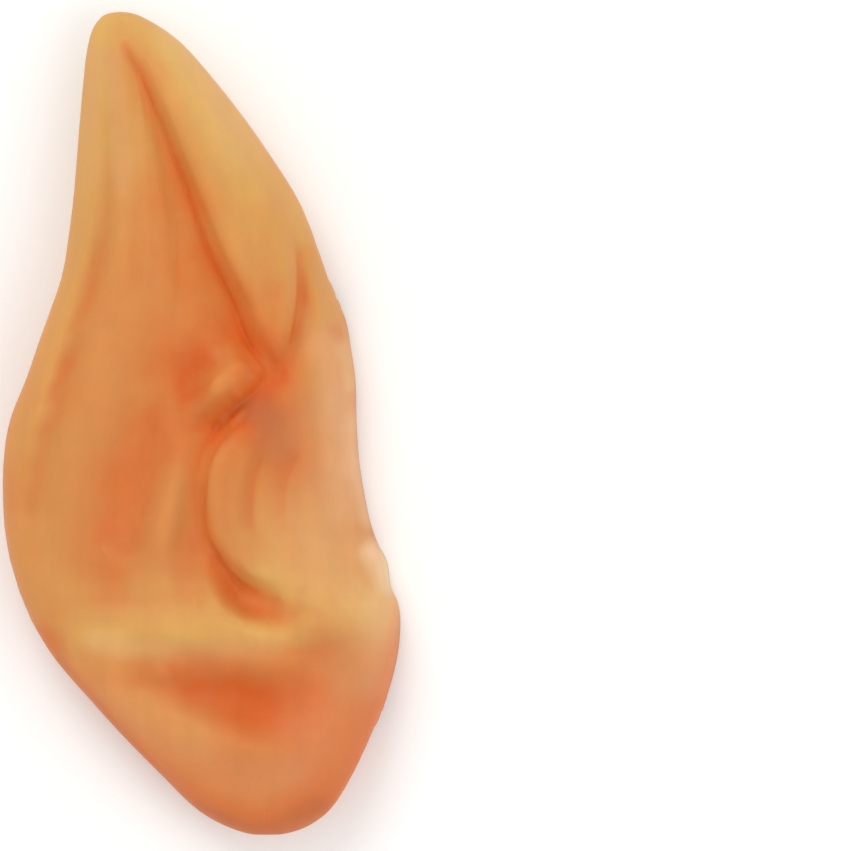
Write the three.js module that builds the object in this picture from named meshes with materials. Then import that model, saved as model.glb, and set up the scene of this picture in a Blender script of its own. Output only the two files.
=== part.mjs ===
// A slip-on elf ear: one hollow shell of moulded latex that a wearer pulls over a real ear.
// It lies as it rests on a table. +Z is the face that shows, +Y runs from the lobe to the tip,
// and +X points at the wearer's cheek. The cheek side and the back are open, so that an ear goes in.
// All sizes are in millimetres.
import * as THREE from "three";
import { mergeVertices } from "three/addons/utils/BufferGeometryUtils.js";

// Driving dimensions
const EAR_LENGTH = 110; // from the bottom of the lobe to the tip
const EAR_WIDTH = 53; // across the widest part
const DOME_HEIGHT = 22; // of the plain dome over the surface that it rests on, before folds
const FOLD_HEIGHT = 4; // of the tallest fold in the folds table
const CREASE_DEPTH = 3.6; // of the long crease where it is deepest
const WALL = 1.6; // thickness of the latex
const MOUTH_LENGTH = 56; // of the opening in the back, along the ear
const MOUTH_WIDTH = 31; // of the opening, across the ear
const MOUTH_CENTRE = 44; // from the bottom of the lobe to the middle of the opening
const LOBE_ROUNDING = 12; // length over which the lobe's end closes
const TIP_ROUNDING = 8; // length over which the tip closes
const RIM_ROUNDING = 9; // width over which the rim turns under to the flat back
const EDGE_FADE = 4.5; // width beside the outline where folds die away

// Roundness of the shell's sections: 2 is an ellipse, and more is squarer.
const DOME_SQUARENESS = 2.3;
const MOUTH_SQUARENESS = 2.2;
const CREASE_SHARPNESS = 1.6; // 1 gives the long crease straight walls, and more hollows them out
const FOLD_END_SHARPNESS = 0.5; // 1 runs a fold's ends out as a sine, and less keeps it full for longer
const FOLD_END = 0.04; // share of a fold's path at either end along which its height stays the same

// Mesh density: rings along the ear, and columns round each skin.
const RING_COUNTS = { lobe: 11, lowerMouth: 18, upperMouth: 20, tip: 18 };
const CLOSE_RINGS_SHARE = 0.36; // of the length, up to which rings lie close for the folds near the lobe
const OUTER_COLUMN_COUNTS = { left: 25, right: 20, back: 10 };
const INNER_COLUMN_COUNTS = { left: 12, right: 10, back: 7 };
const COLUMN_CROWDING = 0.4; // 0 spaces the columns of a stretch evenly, and 1 crowds them at its ends
const CREASE_MARGIN = 0.25; // least share of a section's width between the crease's column and either edge
const PATH_STEP_COUNT = 28; // steps along a fold's path
const TINY = 0.001; // length that counts as none

// Where the inner skin feels for the outer one: directions round a point, and how far out as shares of
// the wall.
const FEELER_COUNT = 8;
const FEELER_REACHES = [0.55, 0.85, 1];

// The outline from the front. at is a share of the length, left and right are shares of the width.
const OUTLINE = [
  { at: 0.0, left: 0.661, right: 0.661 },
  { at: 0.005, left: 0.59, right: 0.742 },
  { at: 0.03, left: 0.492, right: 0.822 },
  { at: 0.077, left: 0.392, right: 0.884 },
  { at: 0.12, left: 0.304, right: 0.926 },
  { at: 0.164, left: 0.221, right: 0.965 },
  { at: 0.213, left: 0.133, right: 0.992 },
  { at: 0.255, left: 0.078, right: 1.0 },
  { at: 0.28, left: 0.055, right: 0.994 },
  { at: 0.298, left: 0.04, right: 0.977 },
  { at: 0.318, left: 0.028, right: 0.971 },
  { at: 0.334, left: 0.018, right: 0.964 },
  { at: 0.353, left: 0.011, right: 0.943 },
  { at: 0.383, left: 0.003, right: 0.922 },
  { at: 0.445, left: 0.001, right: 0.898 },
  { at: 0.5, left: 0.016, right: 0.889 },
  { at: 0.553, left: 0.058, right: 0.886 },
  { at: 0.6, left: 0.092, right: 0.872 },
  { at: 0.622, left: 0.109, right: 0.864 },
  { at: 0.64, left: 0.122, right: 0.85 },
  { at: 0.68, left: 0.15, right: 0.815 },
  { at: 0.723, left: 0.165, right: 0.785 },
  { at: 0.772, left: 0.178, right: 0.743 },
  { at: 0.83, left: 0.188, right: 0.666 },
  { at: 0.878, left: 0.196, right: 0.595 },
  { at: 0.927, left: 0.205, right: 0.514 },
  { at: 0.965, left: 0.217, right: 0.441 },
  { at: 0.992, left: 0.243, right: 0.357 },
  { at: 1.0, left: 0.295, right: 0.295 },
];

// The dome that carries the folds. at is a share of the length. rimLeft and rimRight are the heights of
// the outline, top and bottom those of the dome and of the back, as shares of the dome's height.
// peak is where the dome is highest, as a share of its own width.
const DOME = [
  { at: 0.0, rimLeft: 0.3, rimRight: 0.3, top: 0.66, bottom: 0.0, peak: 0.5 },
  { at: 0.06, rimLeft: 0.32, rimRight: 0.29, top: 0.7, bottom: 0.0, peak: 0.5 },
  { at: 0.11, rimLeft: 0.34, rimRight: 0.2, top: 0.73, bottom: 0.0, peak: 0.5 },
  { at: 0.15, rimLeft: 0.35, rimRight: 0.09, top: 0.76, bottom: 0.0, peak: 0.5 },
  { at: 0.19, rimLeft: 0.36, rimRight: 0.02, top: 0.79, bottom: 0.0, peak: 0.5 },
  { at: 0.24, rimLeft: 0.38, rimRight: 0.0, top: 0.82, bottom: 0.0, peak: 0.48 },
  { at: 0.3, rimLeft: 0.4, rimRight: 0.0, top: 0.86, bottom: 0.0, peak: 0.46 },
  { at: 0.4, rimLeft: 0.41, rimRight: 0.0, top: 0.88, bottom: 0.0, peak: 0.45 },
  { at: 0.54, rimLeft: 0.41, rimRight: 0.0, top: 0.88, bottom: 0.0, peak: 0.48 },
  { at: 0.6, rimLeft: 0.41, rimRight: 0.01, top: 0.87, bottom: 0.0, peak: 0.5 },
  { at: 0.65, rimLeft: 0.4, rimRight: 0.09, top: 0.85, bottom: 0.0, peak: 0.53 },
  { at: 0.7, rimLeft: 0.39, rimRight: 0.24, top: 0.82, bottom: 0.0, peak: 0.55 },
  { at: 0.76, rimLeft: 0.38, rimRight: 0.34, top: 0.79, bottom: 0.0, peak: 0.56 },
  { at: 0.84, rimLeft: 0.35, rimRight: 0.36, top: 0.72, bottom: 0.02, peak: 0.56 },
  { at: 0.93, rimLeft: 0.32, rimRight: 0.34, top: 0.62, bottom: 0.06, peak: 0.54 },
  { at: 1.0, rimLeft: 0.32, rimRight: 0.32, top: 0.54, bottom: 0.12, peak: 0.5 },
];

// The long crease, which runs from under the tip down the inside of the helix, round the front of the
// ear canal and under the tragus. at is a share of the length and across of the width. depth is a share
// of the crease's depth. left and right are the widths of its two sides, as shares of the ear's width.
const CREASE = [
  { at: 0.0, across: 0.661, depth: 0.0, left: 0.06, right: 0.05 },
  { at: 0.15, across: 0.64, depth: 0.0, left: 0.06, right: 0.05 },
  { at: 0.26, across: 0.62, depth: 0.0, left: 0.06, right: 0.08 },
  { at: 0.286, across: 0.6, depth: 0.25, left: 0.07, right: 0.12 },
  { at: 0.3, across: 0.59, depth: 0.5, left: 0.09, right: 0.11 },
  { at: 0.317, across: 0.57, depth: 0.6, left: 0.1, right: 0.08 },
  { at: 0.34, across: 0.538, depth: 0.55, left: 0.1, right: 0.065 },
  { at: 0.358, across: 0.514, depth: 0.46, left: 0.08, right: 0.055 },
  { at: 0.4, across: 0.5, depth: 0.36, left: 0.07, right: 0.045 },
  { at: 0.436, across: 0.5, depth: 0.36, left: 0.07, right: 0.045 },
  { at: 0.46, across: 0.51, depth: 0.5, left: 0.09, right: 0.05 },
  { at: 0.485, across: 0.534, depth: 0.66, left: 0.1, right: 0.06 },
  { at: 0.505, across: 0.556, depth: 0.76, left: 0.11, right: 0.1 },
  { at: 0.522, across: 0.592, depth: 0.72, left: 0.11, right: 0.14 },
  { at: 0.54, across: 0.635, depth: 0.7, left: 0.09, right: 0.13 },
  { at: 0.56, across: 0.668, depth: 0.62, left: 0.07, right: 0.1 },
  { at: 0.576, across: 0.656, depth: 0.62, left: 0.08, right: 0.1 },
  { at: 0.592, across: 0.626, depth: 0.8, left: 0.1, right: 0.08 },
  { at: 0.643, across: 0.583, depth: 0.9, left: 0.16, right: 0.07 },
  { at: 0.71, across: 0.517, depth: 0.82, left: 0.16, right: 0.065 },
  { at: 0.78, across: 0.468, depth: 0.72, left: 0.13, right: 0.06 },
  { at: 0.863, across: 0.4, depth: 0.52, left: 0.09, right: 0.055 },
  { at: 0.925, across: 0.345, depth: 0.26, left: 0.05, right: 0.05 },
  { at: 0.96, across: 0.308, depth: 0.06, left: 0.04, right: 0.045 },
  { at: 1.0, across: 0.295, depth: 0.0, left: 0.03, right: 0.04 },
];

// Folds moulded on the dome. path runs through points given as [across, along], shares of the width and
// length. left and right are the widths of the fold's sides as shares of the width, seen along the path.
// height is a share of the fold height, and is negative for a hollow.
const FOLDS = [
  {
    name: "helix band",
    path: [[0.35, 0.96], [0.47, 0.9], [0.6, 0.8], [0.68, 0.7], [0.71, 0.64]],
    left: 0.11,
    right: 0.13,
    height: 0.5,
  },
  {
    name: "outer rim",
    path: [[0.23, 0.93], [0.225, 0.78], [0.195, 0.69], [0.13, 0.58], [0.06, 0.45], [0.035, 0.36],
      [0.07, 0.28]],
    left: 0.05,
    right: 0.09,
    height: 0.2,
  },
  {
    name: "groove inside the outer rim",
    path: [[0.28, 0.86], [0.265, 0.76], [0.234, 0.687], [0.196, 0.618], [0.156, 0.55], [0.12, 0.49],
      [0.093, 0.43], [0.09, 0.35]],
    left: 0.07,
    right: 0.05,
    height: -0.24,
  },
  {
    name: "first rib of the panel",
    path: [[0.289, 0.93], [0.3, 0.79], [0.29, 0.65]],
    left: 0.045,
    right: 0.04,
    height: 0.12,
  },
  {
    name: "second rib of the panel",
    path: [[0.36, 0.87], [0.4, 0.76], [0.42, 0.65]],
    left: 0.03,
    right: 0.08,
    height: 0.12,
  },
  {
    name: "slit at the front of the helix",
    path: [[0.745, 0.735], [0.752, 0.69], [0.75, 0.65], [0.741, 0.615], [0.727, 0.585], [0.7, 0.565]],
    left: 0.06,
    right: 0.035,
    height: -0.5,
  },
  {
    name: "swelling in front of the slit",
    path: [[0.82, 0.69], [0.83, 0.63], [0.8, 0.56]],
    left: 0.1,
    right: 0.08,
    height: 0.24,
  },
  {
    name: "end of the helix",
    path: [[0.505, 0.518], [0.538, 0.538], [0.57, 0.554], [0.602, 0.565], [0.637, 0.571]],
    left: 0.05,
    right: 0.05,
    height: 0.5,
  },
  {
    name: "hollow behind the end of the helix",
    path: [[0.56, 0.61], [0.505, 0.582], [0.482, 0.545], [0.49, 0.508], [0.56, 0.49]],
    left: 0.06,
    right: 0.08,
    height: -0.32,
  },
  {
    name: "notch under the tragus",
    path: [[0.56, 0.325], [0.585, 0.3], [0.62, 0.284], [0.668, 0.273], [0.725, 0.268]],
    left: 0.1,
    right: 0.055,
    height: -0.62,
  },
  {
    name: "lip of the tragus",
    path: [[0.62, 0.485], [0.56, 0.45], [0.55, 0.395], [0.575, 0.35], [0.66, 0.315], [0.76, 0.29]],
    left: 0.12,
    right: 0.05,
    height: 0.22,
  },
  {
    name: "first dip on the tragus",
    path: [[0.66, 0.48], [0.635, 0.43], [0.625, 0.39], [0.645, 0.34]],
    left: 0.05,
    right: 0.035,
    height: -0.16,
  },
  {
    name: "second dip on the tragus",
    path: [[0.77, 0.48], [0.722, 0.44], [0.707, 0.4], [0.72, 0.35]],
    left: 0.08,
    right: 0.05,
    height: -0.14,
  },
  {
    name: "hollow over the tragus",
    path: [[0.7, 0.53], [0.75, 0.495], [0.79, 0.45]],
    left: 0.1,
    right: 0.09,
    height: -0.26,
  },
  {
    name: "hollow of the concha",
    path: [[0.38, 0.54], [0.35, 0.47], [0.31, 0.41], [0.28, 0.33]],
    left: 0.13,
    right: 0.14,
    height: -0.55,
  },
  {
    name: "antihelix",
    path: [[0.46, 0.47], [0.442, 0.431], [0.41, 0.385], [0.36, 0.31]],
    left: 0.06,
    right: 0.06,
    height: 0.22,
  },
  {
    name: "hollow beside the tragus",
    path: [[0.488, 0.41], [0.482, 0.37], [0.475, 0.33], [0.51, 0.3]],
    left: 0.06,
    right: 0.07,
    height: -0.22,
  },
  {
    name: "antitragus",
    path: [[0.13, 0.23], [0.26, 0.243], [0.4, 0.247], [0.55, 0.25], [0.7, 0.249], [0.82, 0.26]],
    left: 0.1,
    right: 0.075,
    height: 0.42,
  },
  {
    name: "hollow of the lobe",
    path: [[0.38, 0.201], [0.48, 0.187], [0.59, 0.168], [0.69, 0.162], [0.76, 0.178], [0.79, 0.21]],
    left: 0.12,
    right: 0.12,
    height: -0.7,
  },
  {
    name: "swelling of the lobe",
    path: [[0.3, 0.17], [0.45, 0.135], [0.63, 0.105], [0.72, 0.06]],
    left: 0.09,
    right: 0.09,
    height: 0.24,
  },
  {
    name: "bridge from the tragus to the cheek",
    path: [[0.75, 0.3], [0.86, 0.277], [0.99, 0.268]],
    left: 0.1,
    right: 0.1,
    height: 0.22,
  },
];

// Share of a quarter oval's height at a share of its width.
function oval(share, squareness) {
  const left = 1 - THREE.MathUtils.clamp(share, 0, 1);
  return (1 - left ** squareness) ** (1 / squareness);
}

// A share from 0 to 1 moved towards the nearer end, which crowds evenly spaced shares there.
function spread(share, crowding) {
  return (1 - crowding) * share + (crowding * (1 - Math.cos(Math.PI * share))) / 2;
}

// A smooth curve through one column of a table whose rows are sorted by their share of the length. It
// turns only at rows, so it never swings past them.
function follow(table, column, at) {
  const last = table.length - 1;
  const inside = THREE.MathUtils.clamp(at, table[0].at, table[last].at);
  const next = Math.max(1, table.findIndex((row) => row.at >= inside));
  const rise = (i) => {
    const [low, high] = [table[i], table[i + 1]];
    return (high[column] - low[column]) / (high.at - low.at);
  };
  const slope = (i) => {
    const [before, after] = [rise(Math.max(0, i - 1)), rise(Math.min(last - 1, i))];
    return before * after > 0 ? (2 * before * after) / (before + after) : 0;
  };
  const [a, b] = [table[next - 1], table[next]];
  const span = b.at - a.at;
  const t = (inside - a.at) / span;
  const [t2, t3] = [t * t, t * t * t];
  return (
    (2 * t3 - 3 * t2 + 1) * a[column] +
    (t3 - 2 * t2 + t) * span * slope(next - 1) +
    (3 * t2 - 2 * t3) * b[column] +
    (t3 - t2) * span * slope(next)
  );
}

// The outline at a row number that may lie between two rows. Past either end of the ear the rows come
// back with left and right changed over, so that the outline rounds its ends smoothly.
function outlineAt(row) {
  const last = OUTLINE.length - 1;
  const pick = (i) => {
    const turned = i < 0 || i > last;
    const r = OUTLINE[i < 0 ? -i : i > last ? 2 * last - i : i];
    return turned ? [r.at, r.right, r.left] : [r.at, r.left, r.right];
  };
  const i = Math.min(Math.floor(row), last - 1);
  const t = row - i;
  const [before, a, b, after] = [pick(i - 1), pick(i), pick(i + 1), pick(i + 2)];
  const mix = (k) =>
    0.5 *
    (2 * a[k] +
      (b[k] - before[k]) * t +
      (2 * before[k] - 5 * a[k] + 4 * b[k] - after[k]) * t * t +
      (3 * a[k] - before[k] - 3 * b[k] + after[k]) * t * t * t);
  return { y: mix(0) * EAR_LENGTH, left: mix(1) * EAR_WIDTH, right: mix(2) * EAR_WIDTH };
}

// The row number at which the outline reaches a distance from the bottom of the lobe.
function rowAt(y) {
  let [low, high] = [0, OUTLINE.length - 1];
  for (let step = 0; step < 40; step++) {
    const middle = (low + high) / 2;
    if (outlineAt(middle).y < y) low = middle;
    else high = middle;
  }
  return low;
}

// Row numbers that divide a stretch of the outline into even steps along its two edges.
function stepRows(from, to, count) {
  const SAMPLES = 400;
  const travel = [0];
  let before = outlineAt(from);
  for (let i = 1; i <= SAMPLES; i++) {
    const now = outlineAt(from + ((to - from) * i) / SAMPLES);
    const sideways = (Math.abs(now.left - before.left) + Math.abs(now.right - before.right)) / 2;
    travel.push(travel[i - 1] + Math.hypot(now.y - before.y, sideways));
    before = now;
  }
  const rows = [from];
  for (let k = 1; k < count; k++) {
    const wanted = (travel[SAMPLES] * k) / count;
    const i = travel.findIndex((length) => length >= wanted);
    const part = (wanted - travel[i - 1]) / (travel[i] - travel[i - 1]);
    rows.push(from + ((to - from) * (i - 1 + part)) / SAMPLES);
  }
  return rows;
}

// How far the lobe's end and the tip have closed: 0 at the very end, 1 past the rounding.
function closing(y) {
  return oval(y / LOBE_ROUNDING, 2) * oval((EAR_LENGTH - y) / TIP_ROUNDING, 2);
}

// A fold's path as evenly spaced points with the direction at each, worked out once.
const foldPaths = FOLDS.map((fold) => {
  const curve = new THREE.SplineCurve(
    fold.path.map(([across, along]) => new THREE.Vector2(across * EAR_WIDTH, along * EAR_LENGTH)),
  );
  return Array.from({ length: PATH_STEP_COUNT + 1 }, (_, i) => {
    const t = i / PATH_STEP_COUNT;
    return { t, point: curve.getPointAt(t), direction: curve.getTangentAt(t) };
  });
});

// Height that one fold adds at a point: full on its path, dying away at its sides and both ends.
function foldHeight(fold, path, x, y) {
  let nearest = path[0];
  let distance = Infinity;
  for (const step of path) {
    const d = Math.hypot(x - step.point.x, y - step.point.y);
    if (d < distance) [nearest, distance] = [step, d];
  }
  const { point, direction } = nearest;
  const turn = direction.x * (y - point.y) - direction.y * (x - point.x);
  const side = (turn > 0 ? fold.left : fold.right) * EAR_WIDTH;
  const off = Math.min(distance / side, 1);
  const along = THREE.MathUtils.clamp(nearest.t, FOLD_END, 1 - FOLD_END);
  const ends = Math.sin(Math.PI * along) ** FOLD_END_SHARPNESS;
  return fold.height * FOLD_HEIGHT * ends * (1 - off * off) ** 2;
}

// Depth of the long crease at a point: sharp along its line, with a gentle left and a steep right side.
function creaseDepth(x, y) {
  const at = y / EAR_LENGTH;
  const off = x - follow(CREASE, "across", at) * EAR_WIDTH;
  const side = follow(CREASE, off < 0 ? "left" : "right", at) * EAR_WIDTH;
  const near = Math.max(0, 1 - Math.abs(off) / side);
  return Math.max(0, follow(CREASE, "depth", at)) * CREASE_DEPTH * near ** CREASE_SHARPNESS;
}

function relief(x, y) {
  const folds = FOLDS.reduce((sum, fold, i) => sum + foldHeight(fold, foldPaths[i], x, y), 0);
  return folds - creaseDepth(x, y);
}

// Height of the outer skin's front at a point over the outline.
function frontHeight(x, y) {
  const along = THREE.MathUtils.clamp(y, 0, EAR_LENGTH);
  const { left, right } = outlineAt(rowAt(along));
  const at = along / EAR_LENGTH;
  const over = THREE.MathUtils.clamp(x, left, right);
  const share = (over - left) / Math.max(right - left, TINY);
  const peak = follow(DOME, "peak", at);
  const onLeft = share < peak;
  const rim = follow(DOME, onLeft ? "rimLeft" : "rimRight", at) * DOME_HEIGHT;
  const top = follow(DOME, "top", at) * DOME_HEIGHT;
  const climb = oval(onLeft ? share / peak : (1 - share) / (1 - peak), DOME_SQUARENESS);
  const fade = THREE.MathUtils.smoothstep(Math.min(over - left, right - over) / EDGE_FADE, 0, 1);
  return rim + ((top - rim) * climb + relief(over, along) * fade) * closing(along);
}

// Height of a skin that keeps its distance under the outer skin's front, as latex lies in a mould.
function heightUnder(x, y, distance) {
  if (distance === 0) return frontHeight(x, y);
  let lowest = frontHeight(x, y) - distance;
  for (const reach of FEELER_REACHES) {
    const drop = distance * Math.sqrt(1 - reach * reach);
    for (let turn = 0; turn < FEELER_COUNT; turn++) {
      const angle = (2 * Math.PI * turn) / FEELER_COUNT;
      const [dx, dy] = [reach * distance * Math.cos(angle), reach * distance * Math.sin(angle)];
      lowest = Math.min(lowest, frontHeight(x + dx, y + dy) - drop);
    }
  }
  return lowest;
}

// One section of the ear's skin, set in from the outer surface by a wall thickness (0 for the outer
// skin). It runs from the cheek side over the front to the left edge and back under to the mouth's edge.
function section(row, inset, mouth, columns) {
  const outer = outlineAt(row);
  const squeeze = inset * Math.min(1, (outer.right - outer.left) / 2 / LOBE_ROUNDING);
  const [left, right] = [outer.left + squeeze, outer.right - squeeze];
  const y =
    outer.y +
    inset * Math.max(0, 1 - outer.y / LOBE_ROUNDING) -
    inset * Math.max(0, 1 - (EAR_LENGTH - outer.y) / TIP_ROUNDING);
  const at = outer.y / EAR_LENGTH;
  const close = closing(outer.y);
  const height = (column) => follow(DOME, column, at) * DOME_HEIGHT;
  const [rimLeft, rimRight, bottom] = [height("rimLeft"), height("rimRight"), height("bottom") + inset];
  if (right - left < TINY) {
    const end = new THREE.Vector3(left, y, rimLeft);
    return Array.from({ length: columns.right + columns.left + columns.back + 1 }, () => end);
  }

  const turn = Math.min(RIM_ROUNDING - inset, (right - left) / 2);
  const back = (x) => {
    const [near, far] = [x - left, right - x];
    if (near < turn) return rimLeft + (bottom - rimLeft) * oval(near / turn, DOME_SQUARENESS) * close;
    const sides = THREE.MathUtils.smoothstep(near, turn, Math.max(right - left - turn, turn + TINY));
    const rim = THREE.MathUtils.lerp(rimLeft, rimRight, sides);
    return rim + (bottom - rim) * oval(far / turn, DOME_SQUARENESS) * close;
  };
  // Columns lie closer together at both ends of a stretch.
  const stretch = (from, to, count) =>
    Array.from({ length: count }, (_, i) => from + (to - from) * spread(i / count, COLUMN_CROWDING));
  const crease = THREE.MathUtils.clamp(
    follow(CREASE, "across", at) * EAR_WIDTH,
    left + CREASE_MARGIN * (right - left),
    right - CREASE_MARGIN * (right - left),
  );
  const edge = mouth > 0 ? Math.max(outer.right - mouth, left + turn) : right;
  const over = [...stretch(right, crease, columns.right), ...stretch(crease, left, columns.left)];
  const under = [...stretch(left, edge, columns.back), edge];
  const points = [
    ...over.map((x, i) => new THREE.Vector3(x, y, i ? heightUnder(x, y, inset) : rimRight)),
    ...under.map((x) => new THREE.Vector3(x, y, back(x))),
  ];
  if (mouth === 0) points[points.length - 1] = points[0];
  return points;
}

// Rings of the whole ear from the lobe to the tip, each with the width of the mouth there.
function rings() {
  const start = MOUTH_CENTRE - MOUTH_LENGTH / 2;
  const end = MOUTH_CENTRE + MOUTH_LENGTH / 2;
  const notch = THREE.MathUtils.clamp(CLOSE_RINGS_SHARE * EAR_LENGTH, start + TINY, end - TINY);
  const [low, middle, high, tip] = [rowAt(start), rowAt(notch), rowAt(end), OUTLINE.length - 1];
  const mouthAt = (row) => {
    const off = Math.abs(outlineAt(row).y - MOUTH_CENTRE) / (MOUTH_LENGTH / 2);
    return MOUTH_WIDTH * oval(1 - off, MOUTH_SQUARENESS);
  };
  const closed = (row) => ({ row, mouth: 0, edge: false });
  const open = (row) => ({ row, mouth: mouthAt(row), edge: true });
  return [
    ...stepRows(0, low, RING_COUNTS.lobe).map(closed),
    { row: low, mouth: 0, edge: true },
    ...stepRows(low, middle, RING_COUNTS.lowerMouth).slice(1).map(open),
    ...stepRows(middle, high, RING_COUNTS.upperMouth).map(open),
    ...stepRows(high, tip, RING_COUNTS.tip).map(closed),
    closed(tip),
  ];
}

// The shell: an outer skin, an inner skin facing in, and the cut edge that joins them round the mouth.
function shellGeometry() {
  const all = rings();
  const outer = all.map(({ row, mouth }) => section(row, 0, mouth, OUTER_COLUMN_COUNTS));
  const inner = all.map(({ row, mouth }) => section(row, WALL, mouth, INNER_COLUMN_COUNTS));
  const corners = [];
  const triangle = (a, b, c) => {
    const flat = Math.min(a.distanceTo(b), b.distanceTo(c), c.distanceTo(a)) < TINY;
    if (!flat) corners.push(a, b, c);
  };
  // Each four-sided patch is split along its shorter diagonal.
  const patch = (a, b, c, d) => {
    const [p, q, r, t] = a.distanceTo(c) < b.distanceTo(d) ? [a, b, c, d] : [b, c, d, a];
    triangle(p, q, r);
    triangle(p, r, t);
  };
  const skin = (rows, facingOut) => {
    for (let i = 0; i + 1 < rows.length; i++) {
      for (let j = 0; j + 1 < rows[i].length; j++) {
        const [a, b, c, d] = [rows[i][j], rows[i + 1][j], rows[i + 1][j + 1], rows[i][j + 1]];
        if (facingOut) patch(a, b, c, d);
        else patch(a, d, c, b);
      }
    }
  };
  skin(outer, true);
  skin(inner, false);
  for (let i = 0; i + 1 < all.length; i++) {
    if (!all[i].edge) continue;
    patch(outer[i][0], inner[i][0], inner[i + 1][0], outer[i + 1][0]);
    patch(outer[i].at(-1), outer[i + 1].at(-1), inner[i + 1].at(-1), inner[i].at(-1));
  }
  return mergeVertices(new THREE.BufferGeometry().setFromPoints(corners), 1e-4);
}

const latex = new THREE.MeshStandardMaterial({ color: 0xdb9558, roughness: 0.55, metalness: 0 });

const shell = new THREE.Mesh(shellGeometry(), latex);
shell.name = "ear_shell";
shell.geometry.computeVertexNormals();
shell.geometry.computeBoundingBox();

// The origin is under the middle of the ear, on the surface that it rests on.
const { min, max } = shell.geometry.boundingBox;
shell.position.set(-(min.x + max.x) / 2, -(min.y + max.y) / 2, -min.z);

const elfEar = new THREE.Group();
elfEar.add(shell);

export default elfEar;
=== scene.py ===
import math

import bmesh
import bpy
import numpy as np
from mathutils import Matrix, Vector
from mathutils.bvhtree import BVHTree


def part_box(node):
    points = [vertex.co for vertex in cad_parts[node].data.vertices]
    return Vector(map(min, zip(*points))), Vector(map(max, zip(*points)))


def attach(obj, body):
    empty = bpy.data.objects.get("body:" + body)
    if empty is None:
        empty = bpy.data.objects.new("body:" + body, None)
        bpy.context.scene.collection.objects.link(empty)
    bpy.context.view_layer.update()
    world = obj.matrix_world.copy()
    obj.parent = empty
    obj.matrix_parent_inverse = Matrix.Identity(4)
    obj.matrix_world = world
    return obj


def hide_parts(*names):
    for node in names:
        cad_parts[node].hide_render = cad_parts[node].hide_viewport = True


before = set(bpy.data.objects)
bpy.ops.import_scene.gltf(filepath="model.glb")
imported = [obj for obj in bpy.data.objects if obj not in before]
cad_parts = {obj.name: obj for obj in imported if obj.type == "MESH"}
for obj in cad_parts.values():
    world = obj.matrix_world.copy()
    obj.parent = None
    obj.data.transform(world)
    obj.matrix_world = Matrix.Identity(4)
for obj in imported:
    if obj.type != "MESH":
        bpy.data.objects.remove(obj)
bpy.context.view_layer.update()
SHELL_LOW, SHELL_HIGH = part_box("ear_shell")

bl_info = {
    "name": "Elf ear costume cover",
    "version": (1, 0, 0),
    "blender": (4, 5, 0),
    "location": "3D View > Sidebar > Elf Ear",
    "description": "Makes a moulded latex elf ear and the studio that it lies in",
    "category": "Add Mesh",
}

MM = 0.001

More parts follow.
